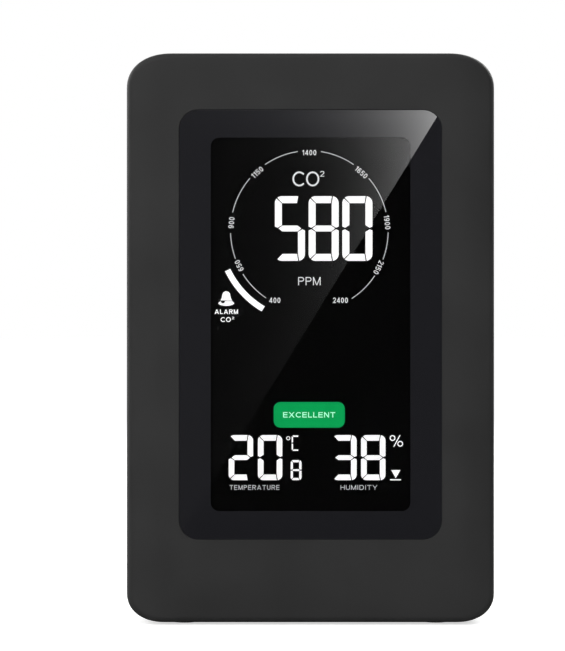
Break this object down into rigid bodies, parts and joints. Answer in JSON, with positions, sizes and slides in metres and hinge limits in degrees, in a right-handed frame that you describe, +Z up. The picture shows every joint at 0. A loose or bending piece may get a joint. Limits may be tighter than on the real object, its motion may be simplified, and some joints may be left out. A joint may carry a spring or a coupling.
{
  "type": "carbon dioxide monitor",
  "caption": "Upright desktop carbon dioxide monitor: dark housing, tall glossy display window, vented back hump with push buttons, charging socket and slide switch.",
  "frame": {"origin": "middle of the outer box seen from above, at the height of the soles of the feet", "axes": "+Z up, -Y out of the front with the display, +X to the right seen from the front"},
  "size_m": [0.096, 0.042, 0.149],
  "materials": {
    "housing": "fine moulded texture",
    "foot_rubber": "matt",
    "screw_steel": "zinc plated",
    "window": "polished clear acrylic",
    "window_print": "dark print behind the clear window",
    "tape": "matt black double-sided foam tape",
    "lcd_face": "smooth black",
    "lcd_glass": "clear",
    "lcd_marks": "backlit pale grey",
    "lcd_green": "backlit green",
    "white_plastic": "satin",
    "light_guide": "polished",
    "black_plastic": "satin",
    "elastomer": "striped, matt",
    "board": "green solder mask",
    "chip": "moulded epoxy",
    "gold_plate": "gold plated",
    "membrane": "white porous film",
    "battery_sleeve": "heat-shrink film",
    "lead_red": "satin",
    "lead_black": "satin",
    "button_rubber": "matt silicone",
    "ribbon": "flat cable film",
    "socket_steel": "nickel plated",
    "knob": "satin",
    "filter_foam": "open black foam"
  },
  "bodies": {
    "housing": {"front_shell": "housing", "rear_shell": "housing", "foot_1": "foot_rubber", "foot_2": "foot_rubber", "foot_3": "foot_rubber", "foot_4": "foot_rubber", "case_screw_1": "screw_steel", "case_screw_2": "screw_steel", "case_screw_3": "screw_steel", "case_screw_4": "screw_steel", "board_screw_1": "screw_steel", "board_screw_2": "screw_steel", "board_screw_3": "screw_steel", "board_screw_4": "screw_steel", "display_window": "window", "window_tape": "tape", "lcd_front_polariser": "lcd_face", "lcd_front_glass": "lcd_glass", "lcd_rear_glass": "lcd_glass", "lcd_rear_polariser": "lcd_face", "backlight_diffuser": "white_plastic", "backlight_guide": "light_guide", "backlight_reflector": "white_plastic", "lcd_frame": "black_plastic", "elastomer_connector": "elastomer", "backlight_led_bar": "white_plastic", "main_board": "board", "main_controller": "chip", "piezo_buzzer": "black_plastic", "co2_module_board": "board", "co2_module_chamber": "gold_plate", "co2_module_membrane": "membrane", "battery_socket": "white_plastic", "battery_plug": "white_plastic", "climate_sensor_board": "board", "climate_sensor": "chip", "battery_cell": "battery_sleeve", "battery_cradle": "black_plastic", "battery_lead_red": "lead_red", "battery_lead_black": "lead_black", "key_board": "board", "key_switch_1": "chip", "key_switch_2": "chip", "key_switch_3": "chip", "key_switch_4": "chip", "key_ribbon": "ribbon", "power_board": "board", "usb_socket": "socket_steel", "usb_tongue": "black_plastic", "power_switch_body": "socket_steel", "vent_filter": "filter_foam"},
    "key_set": {"button_set": "button_rubber", "key_plunger_1": "black_plastic"},
    "key_up": {"button_up": "button_rubber", "key_plunger_2": "black_plastic"},
    "key_down": {"button_down": "button_rubber", "key_plunger_3": "black_plastic"},
    "key_alarm": {"button_alarm": "button_rubber", "key_plunger_4": "black_plastic"},
    "switch_slider": {"power_switch_knob": "knob"}
  },
  "joints": [
    {"name": "press_set", "type": "slide", "parent": "housing", "child": "key_set", "axis": [0, -1, 0], "range_m": [0, 0.0008], "stiffness_N_per_m": 1200, "springref_m": -0.0005},
    {"name": "press_up", "type": "slide", "parent": "housing", "child": "key_up", "axis": [0, -1, 0], "range_m": [0, 0.0008], "stiffness_N_per_m": 1200, "springref_m": -0.0005},
    {"name": "press_down", "type": "slide", "parent": "housing", "child": "key_down", "axis": [0, -1, 0], "range_m": [0, 0.0008], "stiffness_N_per_m": 1200, "springref_m": -0.0005},
    {"name": "press_alarm", "type": "slide", "parent": "housing", "child": "key_alarm", "axis": [0, -1, 0], "range_m": [0, 0.0008], "stiffness_N_per_m": 1200, "springref_m": -0.0005},
    {"name": "slide_power_switch", "type": "slide", "parent": "housing", "child": "switch_slider", "axis": [1, 0, 0], "range_m": [0, 0.0025]}
  ]
}
